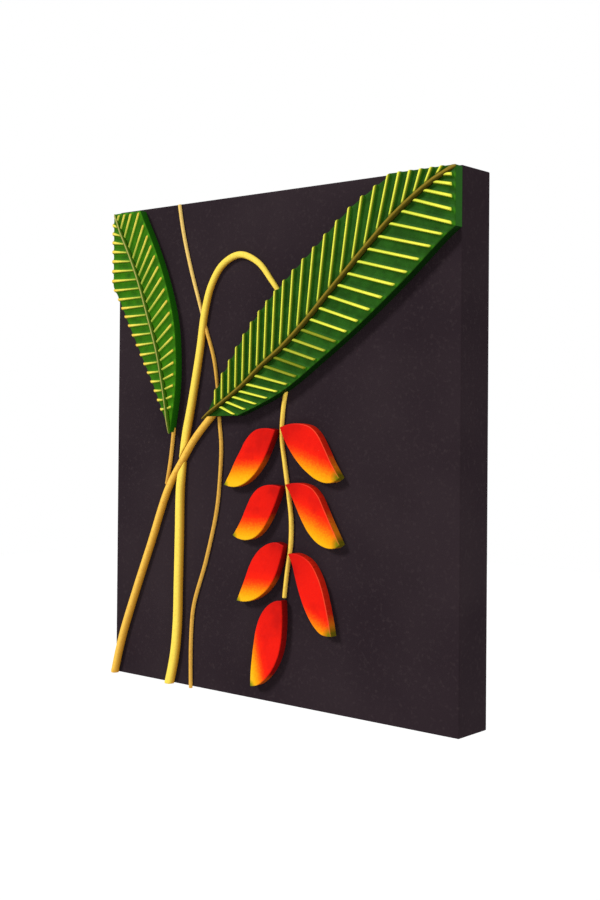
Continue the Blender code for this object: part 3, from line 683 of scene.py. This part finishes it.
# Bracts: seven thick boards of wood, fretsawn, with the front edge rounded over, glued on flat along the
# flower stem. Airbrushed red over a yellow ground that is left to show at the lower belly and towards the
# point, which is touched in green.
BRACT_RISE, BRACT_ROUND = 8.0, 0.9
BRACTS = {
    "bract_right_1": (
        [(217.9, 241.5), (229, 244.6), (241, 245), (252, 242.6), (260, 236.5), (268, 224.8), (276, 211.5),
         (284.5, 200)],
        [(217.9, 241.5), (222.5, 232), (229, 222.5), (237.2, 213), (247, 204.8), (258.5, 198), (269, 195.2),
         (278, 196.2), (284.5, 200)]),
    "bract_right_2": (
        [(224.6, 192), (235, 193.8), (245, 193.4), (254, 190.6), (261.5, 184), (268.5, 172.5), (276, 159.5),
         (285.5, 144)],
        [(224.6, 192), (230, 185), (236.5, 174), (244.5, 160.5), (252.5, 150.5), (261.5, 143.6), (271, 140.4),
         (280, 140.8), (285.5, 144)]),
    "bract_right_3": (
        [(228.6, 132.5), (237, 133.2), (245, 131.4), (253, 127), (260, 118.6), (266, 107), (270.6, 93),
         (274, 80), (277, 66.5)],
        [(228.6, 132.5), (233, 124), (237, 112), (243, 96), (250.5, 82), (258.3, 72.5), (266.5, 67),
         (277, 66.5)]),
    "bract_left_1": (
        [(212.4, 239.2), (203, 240.6), (191, 239.4), (183, 235), (177, 229), (171, 220), (165, 211),
         (159, 200.5), (151.6, 189)],
        [(212.4, 239.2), (208, 229.8), (202.9, 219.7), (196.8, 209.6), (188, 199.5), (178, 192), (168, 188),
         (160, 187.4), (151.6, 189)]),
    "bract_left_2": (
        [(219.4, 190), (209, 191.2), (199, 189.8), (191, 186), (185, 180), (180, 172), (174, 160.5),
         (168, 151), (162.8, 144.2)],
        [(219.4, 190), (213, 175), (206, 162), (198, 151), (190, 144.5), (180, 141), (170, 141.5),
         (162.8, 144.2)]),
    "bract_left_3": (
        [(223.3, 139), (215, 141.3), (205, 139.3), (195, 133.5), (188, 126), (183, 118), (178, 106.5),
         (173, 96), (168.4, 86.4)],
        [(223.3, 139), (218, 122), (212, 109), (205, 100), (197, 93.5), (187, 88.3), (177, 86.2),
         (168.4, 86.4)]),
    "bract_end": (
        [(221.5, 91), (215, 90.4), (207, 86.5), (200, 80), (195, 72), (191.5, 62), (189, 49), (187, 35),
         (185.8, 22), (185.8, 12.5)],
        [(221.5, 91), (222.4, 78), (222, 64), (220.5, 52), (217, 41), (211, 30), (203, 21), (194, 14.5),
         (185.8, 12.5)])}
BRACT_FADES = {
    "bract_right_1": ((249.8, 220.8), (245, 205.6)), "bract_right_2": ((251.5, 172.8), (244.5, 156.5)),
    "bract_right_3": ((263.2, 83), (257.4, 69)), "bract_left_1": ((176, 212.5), (176.5, 197.5)),
    "bract_left_2": ((182.4, 161.5), (182.7, 146.5)), "bract_left_3": ((188.5, 107.5), (188.8, 92.5)),
    "bract_end": ((200.5, 35), (188.8, 31.6))}


def bract_surface(upper, lower, fade):
    """Closed bract: P = lower(s) + t (upper(s) - lower(s)), s from the base to the point, t across.

    The height falls from the face by a quarter round within the last BRACT_ROUND of the outline, measured to the
    outline's nearest point. The ring goes down both walls and closes under the board. The colour changes along
    fade = (P - a) . (b - a) / |b - a|^2, from a, where the red begins to thin out, to b, where it has gone.
    """
    rows, across = 150, 44
    high = smooth_path(upper, rows + 1)
    low = smooth_path(lower, rows + 1)
    outline = np.concatenate([smooth_path(upper, 400), smooth_path(lower, 400)])
    s = 0.5 - 0.5 * np.cos(np.linspace(0.05, np.pi - 0.05, rows))
    index = np.arange(rows + 1) / rows
    top = np.stack([np.interp(s, index, high[:, k]) for k in (0, 1)], -1)
    bottom = np.stack([np.interp(s, index, low[:, k]) for k in (0, 1)], -1)
    t = 0.5 - 0.5 * np.cos(np.linspace(0, np.pi, across))
    flat = bottom[:, None] + t[:, None] * (top - bottom)[:, None]
    edge = np.sqrt(((flat[:, :, None] - outline) ** 2).sum(axis=-1).min(axis=-1))
    inside = np.clip(edge, 0, BRACT_ROUND)
    drop = BRACT_ROUND - np.sqrt(BRACT_ROUND ** 2 - (BRACT_ROUND - inside) ** 2)
    height = BRACT_RISE - drop
    flat = np.concatenate([flat[:, :1], flat, flat[:, -1:]], axis=1)
    foot_height = np.full((rows, 1), GLUE_GAP)
    height = np.concatenate([foot_height, height, foot_height], axis=1)
    wide = np.concatenate([t[:1], t, t[-1:]]) + np.zeros((rows, 1))
    points = np.dstack([flat, height]).reshape(-1, 3)
    start, end = np.asarray(fade, float)
    values = {"along": (s[:, None] + 0 * wide).ravel(), "across": wide.ravel(),
              "edge_mm": np.pad(edge, ((0, 0), (1, 1)), constant_values=-1).ravel(),
              "tip_mm": np.hypot(*np.moveaxis(flat - np.asarray(upper[-1]), -1, 0)).ravel(),
              "fade": ((flat - start) @ (end - start) / ((end - start) ** 2).sum()).ravel()}
    return points, rows, flat.shape[1], values


def bract_paint(name, walls, arris, tip_green, tip_reach):
    """Airbrushed acrylic under satin varnish: red over orange over yellow, a green point, side walls darkened with
    painted shade and a painted highlight along the outer edge.

    walls gives the colours of the side wall at the base, where the face turns yellow and at the point, darkened
    with painted shade; arris is the strength of the painted highlight, a paler red along the sharp edge of the
    outer side.
    """
    paint, shader = finish(name, 0.42)
    along, edge = attribute(paint, "along"), attribute(paint, "edge_mm")
    grain = calculate(paint, "MULTIPLY", mottle(paint, 1.4, 4.0), 0.08)
    fade = calculate(paint, "ADD", spread(paint, attribute(paint, "fade"), -0.5, 1.5), grain)
    face = ramp(paint, fade, [(0.0, "ce140a"), (0.27, "dc1c08"), (0.42, "de3c06"), (0.56, "de6406"),
                              (0.70, "e08606"), (0.86, "e09e0c"), (1.0, "dca816")])
    # Darker red: random clouds in the airbrushing, and painted shade towards the base.
    clouds = calculate(paint, "MULTIPLY", mottle(paint, 14.0, 2.0, 0.45, 0.7), 0.35)
    shade = calculate(paint, "MULTIPLY", spread(paint, along, 0.42, 0.0), 0.6)
    face = mix(paint, calculate(paint, "ADD", calculate(paint, "MULTIPLY", clouds, spread(paint, fade, 0.4, 0.25)),
                                shade), face, "9c0a08")
    tip = calculate(paint, "MULTIPLY", spread(paint, attribute(paint, "tip_mm"), tip_reach, tip_reach * 0.3), 0.9)
    face = mix(paint, tip, face, tip_green)
    # Painted highlight: a paler red line along the sharp edge of the outer side, from a little past the base.
    painted_highlight = calculate(paint, "MULTIPLY", spread(paint, edge, 0.75, 0.45), spread(paint, edge, 0.05, 0.3))
    painted_highlight = calculate(paint, "MULTIPLY", painted_highlight, spread(paint, attribute(paint, "across"), 0.5, 0.9))
    painted_highlight = calculate(paint, "MULTIPLY", painted_highlight, spread(paint, along, 0.15, 0.45))
    face = mix(paint, calculate(paint, "MULTIPLY", painted_highlight, arris), face, "e4603c")
    # Side walls: their colours are darkened with painted shade.
    side = ramp(paint, fade, [(0.0, walls[0]), (0.12, walls[0]), (0.42, walls[1]), (1.0, walls[1])])
    side = mix(paint, tip, side, walls[2])
    colour = mix(paint, spread(paint, edge, 0.12, -0.05), face, side)
    coat(paint, shader, colour)
    relief(paint, shader, mottle(paint, 0.9, 3.0), 0.03)
    return paint


# The left bracts' walls face down and away from the light and get the deeper painted shade; only the right bracts
# get the painted highlight.
right_red = bract_paint("airbrushed_acrylic_right_bracts", ("ac1c0c", "b8660f", "444c0a"), 0.5, "566408", 10.0)
left_red = bract_paint("airbrushed_acrylic_left_bracts", ("700a08", "963a08", "3a4208"), 0.0, "566c0a", 6.5)
for name, (upper, lower) in BRACTS.items():
    points, rows, across, values = bract_surface(upper, lower, BRACT_FADES[name])
    leftward = upper[-1][0] < upper[0][0]
    placed(name + "_board", points, tube_faces(rows, across, not leftward), left_red if leftward else right_red,
           (name,), sharp=50, values=values)

# The room: a plain pale floor well below the hanging panel, and soft studio light from the upper left
floor_mesh = bpy.data.meshes.new("floor")
reach, floor_z = 6.0, -1.1
floor_mesh.from_pydata([(-reach, -reach, floor_z), (reach, -reach, floor_z), (reach, reach, floor_z),
                        (-reach, reach, floor_z)], [], [(0, 1, 2, 3)])
floor = bpy.data.objects.new("floor", floor_mesh)
bpy.context.scene.collection.objects.link(floor)
pale, shader = finish("pale_studio_floor", 0.9)
coat(pale, shader, mix(pale, mottle(pale, 400.0, 2.0), "f6f6f6", "fbfbfb"))
floor_mesh.materials.append(pale)

# The white backdrop is only seen: what the room sends to the object is dimmer
world = bpy.data.worlds.new("studio")
bpy.context.scene.world = world
world.use_nodes = True
backdrop = world.node_tree.nodes["Background"]
backdrop.inputs["Color"].default_value = (1, 1, 1, 1)
seen = world.node_tree.nodes.new("ShaderNodeLightPath")
level = world.node_tree.nodes.new("ShaderNodeMapRange")
level.inputs["To Min"].default_value = 0.5
level.inputs["To Max"].default_value = 1.0
world.node_tree.links.new(level.inputs["Value"], seen.outputs["Is Camera Ray"])
world.node_tree.links.new(backdrop.inputs["Strength"], level.outputs["Result"])


def sunlight(name, towards, strength, softness):
    """Even light along a direction, its shadows softened by its apparent size in degrees."""
    lamp = bpy.data.lights.new(name, "SUN")
    lamp.energy = strength
    lamp.angle = math.radians(softness)
    lamp.specular_factor = 0.5
    light = bpy.data.objects.new(name, lamp)
    bpy.context.scene.collection.objects.link(light)
    aim = np.array(towards) / np.linalg.norm(towards)
    light.rotation_euler = (math.acos(-aim[2]), 0, math.atan2(aim[1], aim[0]) - math.pi / 2)


sunlight("key_upper_left", (0.75, 1.0, -0.8), 3.0, 14)
sunlight("fill_right", (-1.0, 0.25, -0.25), 1.4, 40)

# Camera: fitted to the panel's edges in the photograph. The panel's size was chosen for that fit and the
# height of the picture's centre picked, so the viewpoint is one of several that fit about as well. Its place is
# in millimetres: right of the panel's left edge, in front of its face (negative) and up from its bottom edge.
PHOTO_HIGH, PHOTO_CENTRE, FOCAL_LENGTH, SENSOR = 900, 400, 1293.98, 36
CAMERA_U, CAMERA_Y, CAMERA_V = 960.51, -853.35, 252.43
lens = bpy.data.cameras.new("camera")
lens.lens = FOCAL_LENGTH * SENSOR / PHOTO_HIGH
lens.shift_y = (PHOTO_CENTRE - PHOTO_HIGH / 2) / PHOTO_HIGH
lens.clip_start = 0.05
camera = bpy.data.objects.new("camera", lens)
bpy.context.scene.collection.objects.link(camera)
camera.location = ((CAMERA_U - PANEL_WIDTH / 2) / 1000, (CAMERA_Y - PANEL_DEPTH) / 1000, (CAMERA_V - HANG_V) / 1000)
ahead = np.array([-0.64800289, 0.76154997, 0.0115714])
right = np.array([0.76163683, 0.6479524, 0.00818711])
turned = mathutils.Matrix(np.column_stack([right, np.cross(right, ahead), -ahead]))
camera.rotation_mode = "QUATERNION"
camera.rotation_quaternion = turned.to_quaternion()
bpy.context.scene.camera = camera
bpy.context.scene.view_settings.view_transform = "Standard"
